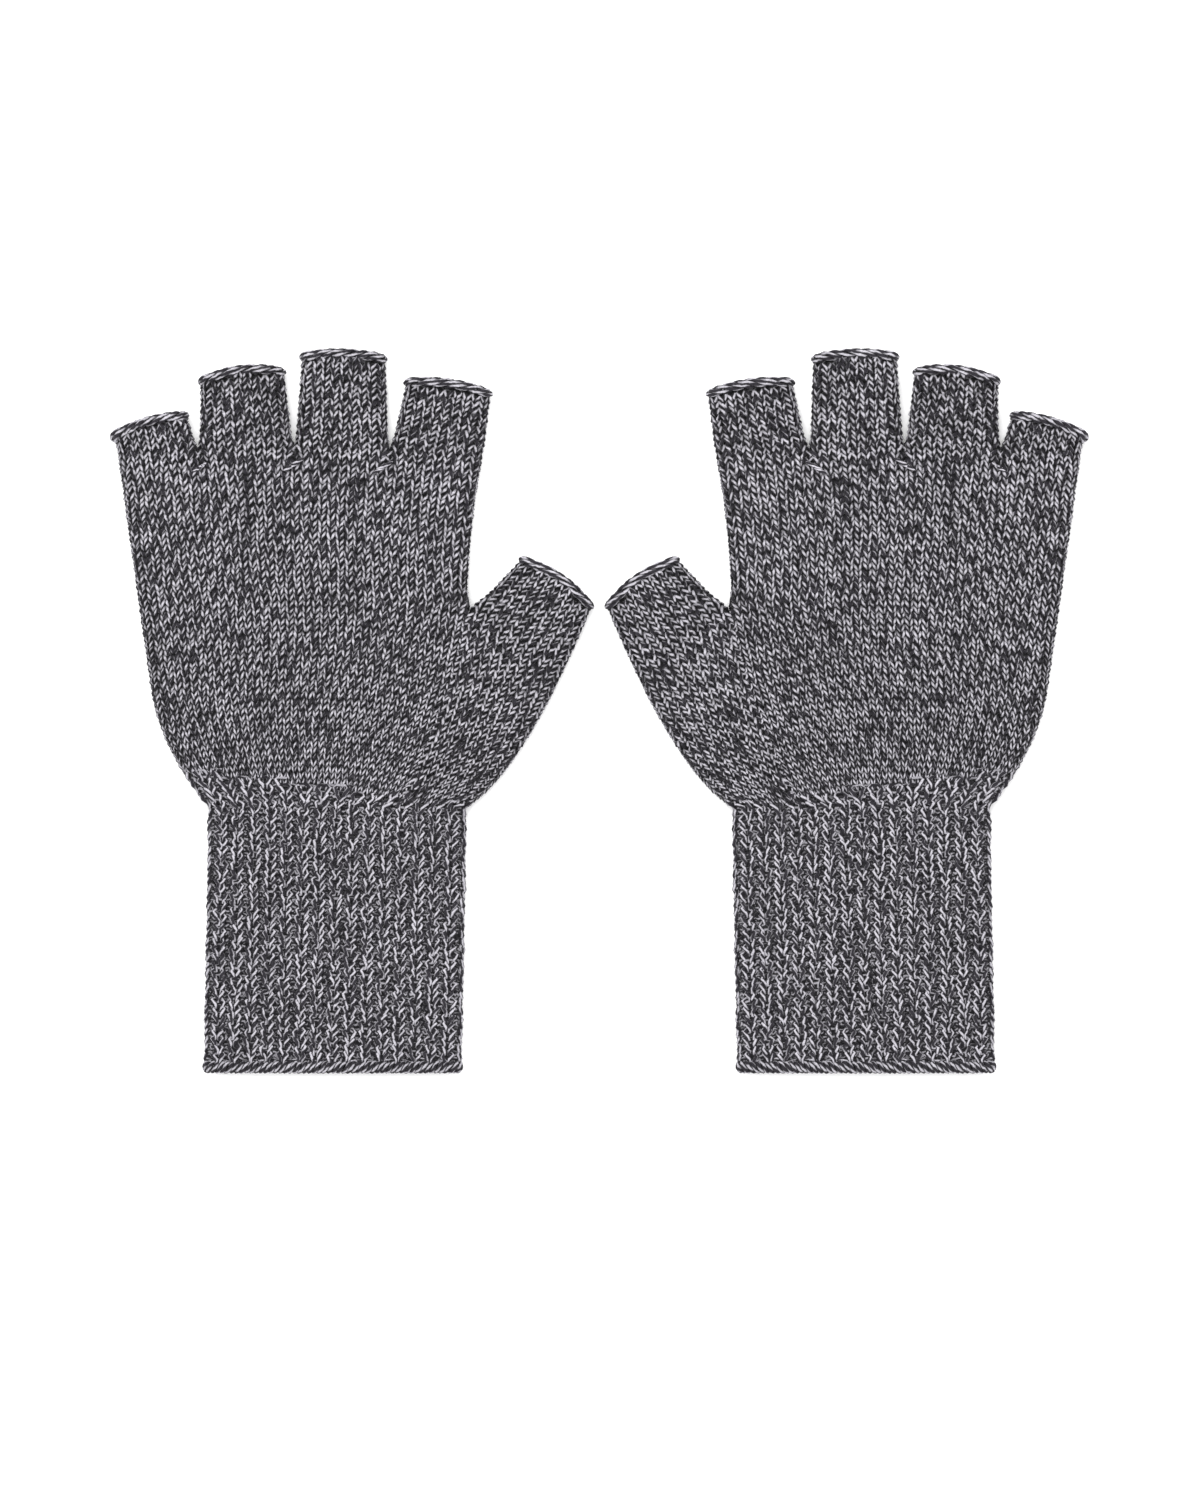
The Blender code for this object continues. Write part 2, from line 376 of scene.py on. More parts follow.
def outer_x(y):
    """Outer side of the hand, by the little finger. It starts a little in from the cuff's side."""
    up = np.maximum(y, 0)
    rise = np.minimum(up / HEEL_HEIGHT, 1)
    notch = WRIST_NOTCH[0] * np.exp(-up / WRIST_NOTCH[1])
    return -(WRIST_HALF + HEEL_SWELL * (1 - (1 - rise) ** 2) + OUTER_SLOPE * up - notch)


def inner_x(y):
    """Right border of the hand's own fabric. Below the thumb's crotch it meets the thumb on a slant."""
    below = np.clip(SEAM_TOP - y, 0, SEAM_TOP)
    curl = (SEAM_X - THUMB_START - SEAM_LEAN * SEAM_TOP) / SEAM_TOP**2
    above = np.clip(y - SEAM_TOP, 0, None) / (HAND_LENGTH - SEAM_TOP)
    return SEAM_X - SEAM_LEAN * below - curl * below**2 + INDEX_FLARE * above**2


def arch_drop(x):
    """How far a row of the hand has dropped below its top where it crosses x."""
    return ARCH * (x - ARCH_X) ** 2


def hand_section(u, y):
    joined_right = 1 - smooth((y - SEAM_TOP) / CORNER_EASE)
    return tube_point(u, (outer_x(y), y), (inner_x(y), y), (0, joined_right))


def hand_rows(u, q):
    y = q - ROW_GUESS
    for _ in range(ROW_STEPS):
        y = q - arch_drop(hand_section(u, y)[..., 0])
    return hand_section(u, y)


def finger_section(name):
    """Section of a finger's tube at a height y above the wrist line."""
    finger = FINGERS[name]
    base_left, base_right = finger["base"]
    tip_left, tip_right = finger["tip"]

    def section(u, y):
        above = y - HAND_LENGTH
        left = base_left + (tip_left[0] - base_left) * above / (tip_left[1] - HAND_LENGTH)
        right = base_right + (tip_right[0] - base_right) * above / (tip_right[1] - HAND_LENGTH)
        joined = 1 - smooth(above / CORNER_EASE)
        joined_left = 0 if name == "little" else joined
        joined_right = 0 if name == "index" else joined
        return tube_point(u, (left, y), (right, y), (joined_left, joined_right))

    return section


def tip_height(name, x):
    """Height of the slanting tip of a finger where it crosses x."""
    (left_x, left_y), (right_x, right_y) = FINGERS[name]["tip"]
    return left_y + (x - left_x) * (right_y - left_y) / (right_x - left_x)


def finger_cloth(name):
    """The finger's tube by the share of the way from the top of the hand to its slanting tip."""
    section = finger_section(name)

    def cloth(u, share):
        y = HAND_LENGTH + 0 * u
        for _ in range(CLOTH_STEPS):
            y = HAND_LENGTH + share * (tip_height(name, section(u, y)[..., 0]) - HAND_LENGTH)
        return section(u, y)

    return cloth


def finger_rows(name):
    """The finger's rows. They start on the hand's arch and end along the slant of the tip."""
    section = finger_section(name)
    middle_x = sum(corner[0] for corner in FINGERS[name]["tip"]) / 2
    low_q = HAND_LENGTH + float(arch_drop(middle_x))
    tip_q = finger_tip_q(name)

    def rows(u, q):
        y = q - ROW_GUESS
        share = np.clip((q - low_q) / (tip_q - low_q), 0, PAST_TIP)
        for _ in range(ROW_STEPS):
            x = section(u, y)[..., 0]
            lean = tip_height(name, x) - (tip_q - arch_drop(x))
            y = q - arch_drop(x) + lean * share
        return section(u, y)

    return rows


def finger_tip_q(name):
    """The row that the tip of the finger lies on."""
    (left_x, left_y), (right_x, right_y) = FINGERS[name]["tip"]
    return (left_y + right_y + float(arch_drop(left_x)) + float(arch_drop(right_x))) / 2


def bend(start, corner, end, t):
    """A point on the curve that leaves start towards corner and reaches end coming from it."""
    return [a * (1 - t) ** 2 + 2 * b * t * (1 - t) + c * t * t for a, b, c in zip(start, corner, end)]


def thumb_section(u, t):
    """Section of the thumb's tube at a share t of the way from the wrist line to the thumb's tip."""
    low_y = SEAM_TOP * np.clip(t / THUMB_CROTCH, None, 1.0)
    high = np.clip((t - THUMB_CROTCH) / (1 - THUMB_CROTCH), 0, None)
    left_x = inner_x(low_y) + (THUMB_INNER_TIP[0] - SEAM_X) * high
    left_y = low_y + (THUMB_INNER_TIP[1] - SEAM_TOP) * high
    pace = np.clip(t, TINY, None) ** THUMB_OUTER_PACE
    right_x, right_y = bend((WRIST_HALF, 0.0), THUMB_OUTER_BEND, THUMB_OUTER_TIP, pace)
    joined_left = 1 - smooth((t - THUMB_CROTCH) / THUMB_EASE)
    return tube_point(u, (left_x, left_y), (right_x, right_y), (joined_left, 0))


def thumb_rows(u, q):
    return thumb_section(u, q / (THUMB_ROWS * ROW))


def thumb_side_x(y):
    """Outer side of the thumb at a height above the wrist line: where its curve crosses that height."""
    bend_y, tip_y = THUMB_OUTER_BEND[1], THUMB_OUTER_TIP[1]
    steep = tip_y - 2 * bend_y
    t = (np.sqrt(bend_y**2 + steep * np.maximum(y, 0)) - bend_y) / steep
    return bend((WRIST_HALF,), THUMB_OUTER_BEND[:1], THUMB_OUTER_TIP[:1], t)[0]


def cuff_section(u, y):
    """The cuff hangs down from the wrist line. Above it the ribs follow the sides of the hand."""
    drift = CUFF_LEAN * np.minimum(y, 0) / -(CUFF_LENGTH + HEM_LENGTH)
    left = (drift + outer_x(y), y)
    right = (drift + thumb_side_x(y), y)
    return tube_point(u, left, right, (0, 0), CUFF_LOW, CUFF_HIGH)


def with_normals(surface, u, q):
    """Points of the surface with its outward normals."""
    step_u = 2e-4
    step_q = 0.05
    along = surface(u + step_u, q) - surface(u - step_u, q)
    up = surface(u, q + step_q) - surface(u, q - step_q)
    normal = np.cross(along, up)
    return surface(u, q), unit(normal)


# ---------------------------------------------------------------- yarn


def yarn_mesh(
    rings, normal, radius, sides, random, wanted=None, along=None, height=None, depth=0.0, closed=True
):
    """Round yarns along lines of points: (vertices, faces, uv, crown).

    rings is (lines, points, 3) and normal points away from the fabric. wanted says which points
    have yarn after them. along is the place on the yarn of each point and of the one after the last,
    and without it every yarn starts at a random place. height is how far a point stands above the
    fabric's middle, at most depth, and crown is how proud of the fabric a vertex stands, from 0 to 1.
    """
    lines, count = rings.shape[:2]
    ahead = np.roll(rings, -1, axis=1)
    behind = np.roll(rings, 1, axis=1)
    if not closed:
        ahead[:, -1] = 2 * rings[:, -1] - rings[:, -2]
        behind[:, 0] = 2 * rings[:, 0] - rings[:, 1]
    tangent = unit(ahead - behind)
    across = unit(np.cross(tangent, normal))
    outward = np.cross(across, tangent)
    angle = 2 * math.pi * np.arange(sides) / sides
    corner = across[:, :, None, :] * np.cos(angle)[None, None, :, None]
    corner = corner + outward[:, :, None, :] * np.sin(angle)[None, None, :, None]
    swell = 1 + random.normal(0, YARN_UNEVEN, (lines, count, 1, 1))
    radius = np.broadcast_to(np.asarray(radius, float), (lines, count))[:, :, None, None]
    verts = (rings[:, :, None, :] + corner * radius * swell).reshape(-1, 3)
    proud = (corner * normal[:, :, None, :]).sum(-1) * radius[..., 0]
    if height is not None:
        proud = proud + height[:, :, None]
    crown = np.clip(0.5 + 0.5 * proud / (radius[..., 0] + depth), 0, 1).ravel()

    if along is None:
        length = np.linalg.norm(ahead - rings, axis=-1)
        start = random.uniform(0, FURTHEST_START, (lines, 1))
        along = np.cumsum(np.pad(length, ((0, 0), (1, 0))), axis=1) + start

    if wanted is None:
        wanted = np.ones((lines, count), bool)
    if not closed:
        wanted = wanted.copy()
        wanted[:, -1] = False
    line, ring = np.nonzero(wanted)
    here = (line * count + ring) * sides
    there = (line * count + (ring + 1) % count) * sides
    side = np.arange(sides)
    after = (side + 1) % sides
    faces = np.stack(
        [here[:, None] + side, here[:, None] + after, there[:, None] + after, there[:, None] + side], -1
    ).reshape(-1, 4)
    uv = np.empty((len(here), sides, 4, 2))
    uv[:, :, :2, 0] = along[line, ring][:, None, None]
    uv[:, :, 2:, 0] = along[line, ring + 1][:, None, None]
    uv[:, :, 0, 1] = uv[:, :, 3, 1] = side / sides
    uv[:, :, 1, 1] = uv[:, :, 2, 1] = (side + 1) / sides
    used, index = np.unique(faces, return_inverse=True)
    return verts[used], index.reshape(-1, 4), uv.reshape(-1, 2), crown[used]


def leg_twist(lines, wales, points, random, rib):
    """Place on the yarn of every point of the loops, with about one twist from each leg to the next.

    The twist swings along each row and from row to row, so light and dark legs gather in slanting runs.
    Some legs are turned half round, and in a rib some pairs of legs beside a turned wale are too.
    """
    count = 2 * wales + 2
    legs = random.normal(0, PLY_JITTER, (lines, count))
    dark_legs = np.resize(CUFF_DARK_LEGS if rib else DARK_LEGS, count)
    legs = legs + HALF_TWIST * (random.uniform(0, 1, legs.shape) < dark_legs)
    start = random.normal(0, RUN_SHIFT, (lines, 1)) - RUN_LEAN * np.arange(lines)[:, None]
    legs = legs + PLY_SWING * np.sin(2 * math.pi * (np.arange(count) + start) / PLY_RUN)
    if rib:
        # Every four legs make up one usual wale and one turned one.
        pairs = HALF_TWIST * (random.uniform(0, 1, (lines, wales // 2)) < TURNED_PAIRS)
        legs[:, 3:-1:4] += pairs
        legs[:, 4::4] += pairs
    at = (np.arange(wales * points + 1) + 0.5) * 2 / points + 0.5
    low = np.floor(at).astype(int)
    part = at - low
    return at + legs[:, low] * (1 - part) + legs[:, low + 1] * part


def knit(surface, wales, phase, rows, keep, detail, seed, rib=False):
    """Interlocked loops on the surface, row by row. keep(points, share, q) says which loops are wanted.

    detail is the points of a loop and the corners of its yarn. In a rib every other wale is turned away.
    """
    row, yarn, loop, wanders = RIB_KNIT if rib else PLAIN_KNIT
    random = np.random.RandomState(seed)
    width, height, depth = loop
    points, sides = detail
    lines = len(rows)
    t = (np.arange(points) + 0.5) * 2 * math.pi / points
    wale = np.arange(wales)[None, :, None]
    line = np.asarray(rows, float)[:, None, None]
    loose = np.abs(np.sin(t))[None, None, :]
    wander = [random.normal(0, amount, (lines, wales, 1)) * loose for amount in wanders]
    x = wale + t / (2 * math.pi) + width * np.sin(2 * t) + wander[0]
    y = line + height / 2 * np.cos(t) + wander[1]
    z = -depth * np.cos(2 * t) + wander[2]
    if rib:
        turned = np.cos(math.pi * (wale + t / (2 * math.pi)))
        z = -depth * np.cos(2 * t) * turned + wander[2] + RIB_DEPTH * turned
        x = x + RIB_SQUEEZE * np.sin(math.pi * x) / math.pi
    base, normal = with_normals(surface, (x + phase) / wales, y * row)
    rings = (base + normal * z[..., None]).reshape(lines, wales * points, 3)
    normal = normal.reshape(rings.shape)
    share = (wale[..., 0] + 0.5 + phase) / wales + 0 * line[..., 0]
    q = line[..., 0] * row + 0 * share
    wanted = np.repeat(keep(surface(share, q), share, q), points, axis=1)
    across = surface(share + 0.5 / wales, q) - surface(share - 0.5 / wales, q)
    pitch = np.linalg.norm(across, axis=-1)
    radius = np.repeat(yarn * np.clip(pitch / USUAL_WALE, *YARN_SHARES), points, axis=1)
    along = leg_twist(lines, wales, points, random, rib)
    return yarn_mesh(rings, normal, radius, sides, random, wanted, along, z.reshape(lines, -1), depth)


def rope(surface, q, kind, seed, dome=0.0, curl=0.0):
    """Strands wound round the rim that the surface has at q. kind is one of the ropes above, dome is how
    much higher the rim is at its middle, and curl how much it swells and drops at its left end."""
    random = np.random.RandomState(seed)
    reach, strands = kind["reach"], kind["strands"]
    points_per_turn, sides = kind["detail"]
    u = np.arange(RIM_POINTS)[None, :] / RIM_POINTS
    end = np.exp(-((np.minimum(u, 1 - u) / CURL_REACH) ** 2)) * curl
    q = q + dome * np.abs(np.sin(2 * math.pi * u)) - CURL_DROP * end
    rim, normal = with_normals(surface, u, q)
    step_q = 0.1
    up = unit(surface(u, q + step_q) - rim)
    length = np.linalg.norm(np.roll(rim, -1, axis=1) - rim, axis=-1)
    way = np.concatenate([[0], np.cumsum(length[0])])
    turns = max(1, round(way[-1] / kind["pitch"]))
    points = turns * points_per_turn
    at = np.arange(points) / points * way[-1]

    def along(values):
        ringed = np.concatenate([values[0], values[0, :1]])
        return np.stack([np.interp(at, way, ringed[:, i]) for i in range(3)], -1)

    centre, out, high = along(rim), unit(along(normal)), unit(along(up))
    swell = 1 + np.interp(at, way[:-1], end[0])
    lines = []
    for strand in range(strands):
        loose = random.normal(0, STRAND_WANDER, points // WANDER_POINTS + 2)
        loose = np.interp(np.arange(points), np.arange(len(loose)) * WANDER_POINTS, loose)
        loose[-WANDER_POINTS:] *= np.linspace(1, 0, WANDER_POINTS)
        angle = 2 * math.pi * (np.arange(points) / points_per_turn + strand / strands) + loose
        lines.append(
            centre
            + out * (reach[0] * swell * np.cos(angle))[:, None]
            + high * (reach[1] * swell * np.sin(angle))[:, None]
        )
    rings = np.stack(lines)
    facing = unit(rings - centre[None])
    return yarn_mesh(rings, facing, kind["yarn"] * np.sqrt(swell), sides, random)


def joined_arrays(parts):
    """Several (vertices, faces, uv, crown) as one."""
    starts = np.cumsum([0] + [len(part[0]) for part in parts])
    faces = [part[1] + start for part, start in zip(parts, starts)]
    verts, uv, crown = (np.concatenate([part[i] for part in parts]) for i in (0, 2, 3))
    return verts, np.concatenate(faces), uv, crown


def to_object(name, arrays, side, material):
    """A mesh object from arrays in glove millimetres. side -1 is the left glove, +1 the right."""
    verts, faces, uv, crown = arrays
    verts = verts.copy()
    verts[:, 0] = side * (WRIST_TO_MIDDLE - verts[:, 0])
    verts[:, 1] += WRIST_Y
    verts *= MM
    if side > 0:
        faces = faces[:, ::-1]
        uv = uv.reshape(len(faces), -1, 2)[:, ::-1].reshape(-1, 2)
    mesh = bpy.data.meshes.new(name)
    corners = faces.shape[1]
    mesh.vertices.add(len(verts))
    mesh.vertices.foreach_set("co", verts.astype(np.float32).ravel())
    mesh.loops.add(faces.size)
    mesh.loops.foreach_set("vertex_index", faces.astype(np.int32).ravel())
    mesh.polygons.add(len(faces))
    mesh.polygons.foreach_set("loop_start", np.arange(0, faces.size, corners, dtype=np.int32))
    mesh.uv_layers.new(name="yarn").data.foreach_set("uv", uv.astype(np.float32).ravel())
    mesh.attributes.new("crown", "FLOAT", "POINT").data.foreach_set("value", crown.astype(np.float32))
    mesh.update(calc_edges=True)
    mesh.validate()
    mesh.shade_smooth()
    mesh.materials.append(material)
    made = bpy.data.objects.new(name, mesh)
    bpy.context.scene.collection.objects.link(made)
    return made


# ---------------------------------------------------------------- materials


def node(tree, kind, **values):
    made = tree.nodes.new(kind)
    for key, value in values.items():
        setattr(made, key, value)
    return made


def noise(tree, scale, detail):
    """Noise in the object's own space."""
    place = node(tree, "ShaderNodeTexCoord")
    made = node(tree, "ShaderNodeTexNoise", noise_dimensions="3D")
    made.inputs["Scale"].default_value = scale
    made.inputs["Detail"].default_value = detail
    tree.links.new(place.outputs["Object"], made.inputs["Vector"])
    return made.outputs[0]


def calc(tree, operation, *values):
    """A Math node. A value is a number or a socket."""
    made = node(tree, "ShaderNodeMath", operation=operation)
    for socket, value in zip(made.inputs, values):
        if isinstance(value, (int, float)):
            socket.default_value = value
        else:
            tree.links.new(value, socket)
    return made.outputs[0]


def remap(tree, value, span, to_span, kind="LINEAR"):
    made = node(tree, "ShaderNodeMapRange", interpolation_type=kind)
    for name, number in zip(("From Min", "From Max", "To Min", "To Max"), (*span, *to_span)):
        made.inputs[name].default_value = number
    tree.links.new(value, made.inputs["Value"])
    return made.outputs[0]


def mixed(tree, share, first, second):
    made = node(tree, "ShaderNodeMix", data_type="RGBA")
    made.inputs[6].default_value = (*first, 1)
    made.inputs[7].default_value = (*second, 1)
    tree.links.new(share, made.inputs[0])
    return made.outputs[2]


def wobble(tree, scale, detail, size):
    """Noise that swings to either side of zero by half its size."""
    return calc(tree, "MULTIPLY_ADD", noise(tree, scale, detail), size, -size / 2)


def relief(tree, height, strength, distance):
    made = node(tree, "ShaderNodeBump")
    made.inputs["Strength"].default_value = strength
    made.inputs["Distance"].default_value = distance
    tree.links.new(height, made.inputs["Height"])
    return made.outputs[0]


def new_material(name):
    """(material, its node tree, its shader)."""
    material = bpy.data.materials.new(name)
    material.use_nodes = True
    return material, material.node_tree, material.node_tree.nodes["Principled BSDF"]


def ply_wave(tree, twist_length):
    """Sine over the plies of a yarn, +1 on the middle of a light ply and -1 on that of a dark one.

    The UV map holds the way along the yarn, of which twist_length brings the next light ply to the
    same side, and the share of the way round it.
    """
    uv = node(tree, "ShaderNodeUVMap", uv_map="yarn")
    split = node(tree, "ShaderNodeSeparateXYZ")
    tree.links.new(uv.outputs[0], split.inputs[0])
    along, around = split.outputs[0], split.outputs[1]
    light_outside = 0.25 - LIGHT_PLIES * 0.25
    turns = calc(tree, "MULTIPLY_ADD", along, 1 / twist_length, light_outside)
    twist = calc(tree, "MULTIPLY_ADD", around, LIGHT_PLIES, turns)
    slip = calc(tree, "ADD", wobble(tree, scale=700, detail=2, size=0.5), twist)
    return calc(tree, "SINE", calc(tree, "MULTIPLY", slip, 2 * math.pi))


def yarn_material(name):
    """Marled yarn of twisted light and dark plies, in painted shade where deep in the fabric and painted
    light where proud.
    """
    yarn = YARNS[name]
    material, tree, shader = new_material(name)
    wave = ply_wave(tree, yarn["twist"])
    patchy = wobble(tree, scale=600, detail=1, size=1.0)
    ply = remap(tree, calc(tree, "ADD", wave, patchy), LIGHT_FROM_WAVE, (0.0, 1.0), "SMOOTHSTEP")
    crown = node(tree, "ShaderNodeAttribute", attribute_name="crown").outputs["Fac"]
    # Painted shade and light: the colour is darkened where the yarn lies deep among other yarns and lightened
    # on its proud crown.
    painted_relief_shading = remap(tree, crown, yarn["crown"], yarn["painted_shading"], "SMOOTHSTEP")

    fibre = noise(tree, scale=3200, detail=4)
    fibre_shade = remap(tree, fibre, NOISE_SPAN, FIBRE_SHADES)
    mottle_shade = remap(tree, noise(tree, scale=70, detail=2), NOISE_SPAN, MOTTLE_SHADES)
    # Random fibre and mottle tone, times the painted shade and light.
    shade = calc(tree, "MULTIPLY", calc(tree, "MULTIPLY", fibre_shade, mottle_shade), painted_relief_shading)
    scaled = node(tree, "ShaderNodeVectorMath", operation="SCALE")
    tree.links.new(mixed(tree, ply, DARK_PLY, LIGHT_PLY), scaled.inputs[0])
    tree.links.new(shade, scaled.inputs["Scale"])
    tree.links.new(scaled.outputs[0], shader.inputs["Base Color"])

    ridge = calc(tree, "ABSOLUTE", wave)
    height = calc(tree, "MULTIPLY_ADD", ridge, RIDGE_HEIGHT, fibre)
    tree.links.new(relief(tree, height, strength=0.8, distance=0.00025), shader.inputs["Normal"])
    tree.links.new(remap(tree, fibre, (0.0, 1.0), YARN_ROUGHNESS), shader.inputs["Roughness"])
    shader.inputs["Specular IOR Level"].default_value = 0.12
    shader.inputs["Sheen Weight"].default_value = 0.06
    shader.inputs["Sheen Roughness"].default_value = 0.45
    return material


def shade_lining_material():
    """Painted shade: the near-black inside of the fabric, seen between the stitches and in the mouths."""
    material, tree, shader = new_material("shade_lining")
    fibre = noise(tree, scale=900, detail=4)
    colour = mixed(tree, fibre, *SHADE_LINING_COLOURS)
    tree.links.new(colour, shader.inputs["Base Color"])
    tree.links.new(relief(tree, fibre, strength=0.6, distance=0.0003), shader.inputs["Normal"])
    shader.inputs["Roughness"].default_value = 0.95
    shader.inputs["Specular IOR Level"].default_value = 0.1
    return material


PLAIN_LOOK, RIB_LOOK, EDGE_LOOK, HEM_LOOK, TACK_LOOK = [yarn_material(name) for name in YARNS]
SHADE_LINING_LOOK = shade_lining_material()


# ---------------------------------------------------------------- pieces


def knitted(name, arrays, side, material, slot, *nodes):
    piece = to_object(name, arrays, side, material)
    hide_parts(*nodes)
    return piece


def shade_lining(name, section, heights, side, depth=LINING_DEPTH):
    """The dense inner layer of a tube, coloured as painted shade, open at both ends and as thick as a thin
    cloth.
    """
    around = LINING_POINTS
    u = (np.arange(around) / around)[None, :] + np.zeros((len(heights), 1))
    q = np.asarray(heights)[:, None] + np.zeros((1, around))
    points, normal = with_normals(section, u, q)
    layers = [points - normal * depth, points - normal * (depth + LINING_THICKNESS)]
    # The inner layer runs back from the last ring to the first, so that the whole is one closed band.
    grid = np.concatenate([layers[0], layers[1][::-1]])
    rows = len(grid)
    row, column = np.meshgrid(np.arange(rows), np.arange(around), indexing="ij")
    here, above = row * around, (row + 1) % rows * around
    ahead = (column + 1) % around
    faces = np.stack([here + column, here + ahead, above + ahead, above + column], -1).reshape(-1, 4)
    uv = np.stack([column.ravel() / around, row.ravel() / rows], -1).repeat(4, axis=0)
    crown = np.zeros(grid.size // 3)
    return to_object(name, (grid.reshape(-1, 3), faces, uv, crown), side, SHADE_LINING_LOOK)


def flat_size(section, heights):
    """Width of a tube's cloth round its widest ring and its length, in metres, and its area."""
    u = np.linspace(0, 1, MEASURE_POINTS)[None, :] + np.zeros((len(heights), 1))
    q = np.asarray(heights)[:, None] + np.zeros((1, MEASURE_POINTS))
    grid = section(u, q)
    around = np.linalg.norm(np.diff(grid, axis=1), axis=-1).sum(axis=1)
    along = np.linalg.norm(np.diff(grid, axis=0), axis=-1).sum(axis=0)
    width, length = float(around.max() * MM), float(along.max() * MM)
    filled = float(around.mean() / around.max() * along.mean() / along.max())
    return width, length, width * length * filled


def declare_cloth(section, heights):
    """Measures a tube's cloth laid flat, its width round the widest ring, its length and its area, and keeps
    none of them.
    """
    width, length, area = flat_size(section, heights)


def rib_top(x):
    """Height above the wrist line where the ribs of the cuff give way to the plain knit."""
    return RIB_RISE * np.clip(0.5 - (x + RIB_LEAN_X) / (2 * WRIST_HALF), RIB_LEAST, 1.0)


def make_hand(side, label):
    rows = np.arange(-2, math.ceil((HAND_LENGTH + ARCH_ROOM) / ROW) + 2)

    def keep(top):
        def wanted(centre, share, q):
            inside = (centre[..., 1] > rib_top(centre[..., 0])) & (centre[..., 1] < HAND_LENGTH)
            return inside & ((np.mod(share, 1.0) < 0.5) == top)

        return wanted

    node_name = f"{label}_hand"
    arrays = knit(hand_rows, HAND_WALES, 0.0, rows, keep(True), TOP_DETAIL, SEEDS["hand_top"])
    top = knitted(f"{label}_hand_knit", arrays, side, PLAIN_LOOK, "hand_knit", node_name)
    arrays = knit(hand_rows, HAND_WALES, 0.0, rows, keep(False), UNDER_DETAIL, SEEDS["hand_under"])
    under = knitted(f"{label}_hand_knit_under", arrays, side, PLAIN_LOOK, "hand_knit", node_name)
    heights = np.linspace(*HAND_LINING)
    inside = shade_lining(f"{label}_hand_inside", hand_section, heights, side)
    declare_cloth(hand_section, heights)
    for piece in (top, under, inside):
        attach(piece, f"{label}_hand_body")


def share_at(section, x):
    """Share of the way round a tube where its top crosses x, on the line of the finger bases."""
    u = np.linspace(0.0, 0.5, 400)
    return float(np.interp(x, section(u, HAND_LENGTH + 0 * u)[:, 0], u))


def make_tack(side, label, pair, order):
    """A few strands of yarn laid across the crotch of a pair of fingers, with their ends in the fabric."""
    tack = TACKS[pair]
    random = np.random.RandomState(SEEDS["tack"] + order)
    x, y = tack["middle"]
    fabric = hand_section(np.array(share_at(hand_section, x)), np.array(y))
    height = float(fabric[2]) + tack["proud"]
    way = np.linspace(-1, 1, TACK_POINTS)
    bow = TACK_BOW * (1 - 2 * way**2)
    lines = []
    for strand in np.arange(TACK_STRANDS) - (TACK_STRANDS - 1) / 2:
        wander = random.uniform(-TACK_WANDER, TACK_WANDER)
        across = x + strand * TACK_STEP[0] + TACK_HALF[0] * way
        up = y + strand * TACK_STEP[1] + wander + TACK_HALF[1] * way
        lines.append(np.stack([across, up, height + bow], -1))
    rings = np.stack(lines)
    radius = TACK_RADIUS * (1 - TACK_TAPER * way**6)
    facing = np.zeros_like(rings) + (0, 0, 1)
    arrays = yarn_mesh(rings, facing, radius, TACK_SIDES, random, closed=False)
    node_name = f"{label}_{pair}_tack"
    piece = knitted(f"{node_name}_yarn", arrays, side, TACK_LOOK, "tack_yarn", node_name)
    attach(piece, f"{label}_hand_body")


def blend_cloth(pieces):
    """Bakes each piece's transform into its mesh."""
    for piece in pieces:
        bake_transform(piece)


def below_edge(tip_q, dome):
    """Says which loops of a stub lie below its bound edge, which covers the last part of its cloth."""

    def wanted(share, q):
        return q < tip_q + dome * np.abs(np.sin(2 * math.pi * share)) - EDGE_COVER

    return wanted


def make_edge(side, label, word, rows, tip_q, seed, dome, curl=0.0):
    """The rolled edge round the mouth of a stub."""
    arrays = rope(rows, tip_q, EDGE_ROPE, seed, dome, curl)
    node_name = f"{label}_{word}_edge"
    edge = knitted(f"{label}_{word}_bound_edge", arrays, side, EDGE_LOOK, "edge_yarn", node_name)
    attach(edge, f"{label}_{word}_body")


def make_finger(side, label, name, order):
    finger = FINGERS[name]
    wales = finger["wales"]
    section = finger_section(name)
    middle = sum(finger["base"]) / 2
    phase = (share_at(section, middle) * wales - share_at(hand_section, middle) * HAND_WALES) % 1.0
    tip_q = finger_tip_q(name)
    dome = finger["dome"]
    below = below_edge(tip_q, dome)

    def keep(centre, share, q):
        return (centre[..., 1] >= HAND_LENGTH) & below(share, q)

    rows = np.arange(math.floor(HAND_LENGTH / ROW) - 1, math.floor((tip_q + dome) / ROW) + 1)
    seed = SEEDS["finger"] + order
    arrays = knit(finger_rows(name), wales, phase, rows, keep, TUBE_DETAIL, seed)
    node_name = f"{label}_{name}"
    piece = knitted(f"{node_name}_knit", arrays, side, PLAIN_LOOK, "hand_knit", node_name)
    heights = np.linspace(*FINGER_LINING)
    inside = shade_lining(f"{node_name}_inside", finger_cloth(name), heights, side)
    declare_cloth(finger_cloth(name), heights)
    blend_cloth((piece, inside))
    seed = SEEDS["finger_edge"] + order
    make_edge(side, label, name, finger_rows(name), tip_q, seed, dome, finger["curl"])


def make_thumb(side, label):
    tip_q = THUMB_ROWS * ROW
    below = below_edge(tip_q, THUMB_DOME)

    def keep(centre, share, q):
        return (centre[..., 1] > rib_top(centre[..., 0])) & below(share, q)

    rows = np.arange(0, THUMB_ROWS + 2)
    arrays = knit(thumb_rows, THUMB_WALES, 0.0, rows, keep, TUBE_DETAIL, SEEDS["thumb"])
    node_name = f"{label}_thumb"
    piece = knitted(f"{node_name}_knit", arrays, side, PLAIN_LOOK, "hand_knit", node_name)
    heights = np.linspace(*THUMB_LINING)
    inside = shade_lining(f"{node_name}_inside", thumb_section, heights, side)
    declare_cloth(thumb_section, heights)
    blend_cloth((piece, inside))
    make_edge(side, label, "thumb", thumb_rows, tip_q, SEEDS["thumb_edge"], THUMB_DOME)


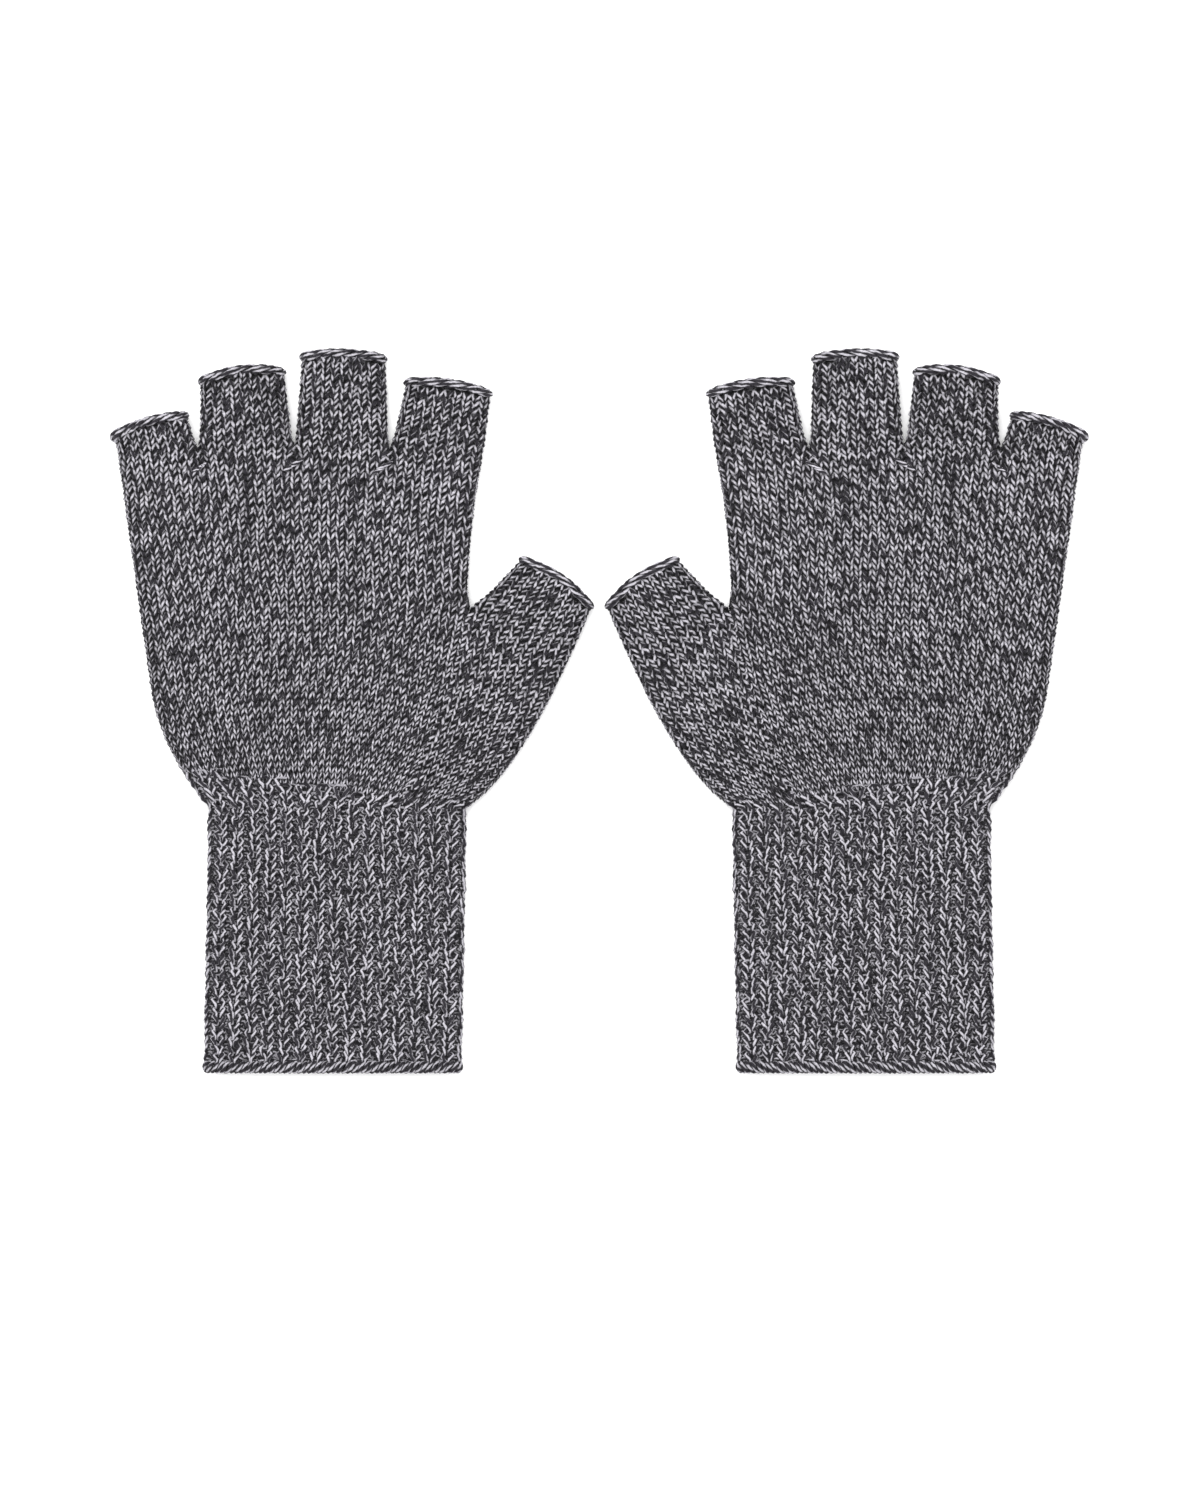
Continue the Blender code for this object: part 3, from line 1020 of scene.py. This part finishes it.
def make_cuff(side, label):
    first_row = -math.floor((CUFF_LENGTH + HEM_OVERLAP) / CUFF_ROW)
    rows = np.arange(first_row, math.ceil(RIB_RISE / CUFF_ROW) + 1)

    def keep(centre, share, q):
        return q < rib_top(centre[..., 0]) + CUFF_OVERLAP

    arrays = knit(cuff_section, CUFF_WALES, 0.0, rows, keep, TUBE_DETAIL, SEEDS["cuff"], rib=True)
    node_name = f"{label}_cuff"
    piece = knitted(f"{node_name}_knit", arrays, side, RIB_LOOK, "cuff_knit", node_name)
    heights = np.linspace(*CUFF_LINING)
    inside = shade_lining(f"{node_name}_inside", cuff_section, heights, side, CUFF_LINING_DEPTH)
    declare_cloth(cuff_section, heights)
    blend_cloth((piece, inside))


def make_hem(side, label):
    """The turned band at the cuff's end, with the line of stitches above it."""
    middle = -CUFF_LENGTH - HEM_LENGTH / 2
    band = rope(cuff_section, middle + HEM_LIFT, HEM_ROPE, SEEDS["hem"])
    thread = rope(cuff_section, -CUFF_LENGTH + THREAD_LIFT, THREAD_ROPE, SEEDS["thread"])
    arrays = joined_arrays([band, thread])
    hem = knitted(f"{label}_hem_band", arrays, side, HEM_LOOK, "cuff_knit", f"{label}_hem")
    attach(hem, f"{label}_cuff_body")


def make_glove(side, label):
    make_hand(side, label)
    make_thumb(side, label)
    make_cuff(side, label)
    make_hem(side, label)
    for order, name in enumerate(FINGERS):
        make_finger(side, label, name, order)
    for order, pair in enumerate(TACKS):
        make_tack(side, label, pair, order)


# ---------------------------------------------------------------- studio


def make_floor():
    reach, below = FLOOR_REACH, -FLOOR_DROP
    corners = [(-reach, -reach, below), (reach, -reach, below), (reach, reach, below), (-reach, reach, below)]
    mesh = bpy.data.meshes.new("floor")
    mesh.from_pydata(corners, [], [(0, 1, 2, 3)])
    floor = bpy.data.objects.new("floor", mesh)
    bpy.context.scene.collection.objects.link(floor)
    material, _, shader = new_material("floor")
    shader.inputs["Base Color"].default_value = FLOOR_GREY
    shader.inputs["Roughness"].default_value = FLOOR_ROUGHNESS
    mesh.materials.append(material)


def make_light(name, light):
    data = bpy.data.lights.new(name, "AREA")
    data.shape = "DISK"
    data.size = light["size"]
    data.energy = light["power"]
    lamp = bpy.data.objects.new(name, data)
    lamp.location = light["place"]
    lamp.rotation_euler = (-Vector(light["place"])).to_track_quat("-Z", "Y").to_euler()
    bpy.context.scene.collection.objects.link(lamp)


def make_camera():
    data = bpy.data.cameras.new("camera")
    data.lens = CAMERA_LENS
    data.sensor_width = CAMERA_SENSOR
    camera = bpy.data.objects.new("camera", data)
    camera.location = CAMERA_PLACE
    bpy.context.scene.collection.objects.link(camera)
    bpy.context.scene.camera = camera


def make_world():
    world = bpy.data.worlds.new("studio")
    world.use_nodes = True
    sky = world.node_tree.nodes["Background"]
    sky.inputs["Color"].default_value = SKY_WHITE
    sky.inputs["Strength"].default_value = SKY_STRENGTH
    bpy.context.scene.world = world


for glove_side, glove_label in ((-1, "left"), (1, "right")):
    make_glove(glove_side, glove_label)
make_floor()
make_light("key", KEY_LIGHT)
make_light("fill", FILL_LIGHT)
make_camera()
make_world()
bpy.context.scene.view_settings.view_transform = "Standard"
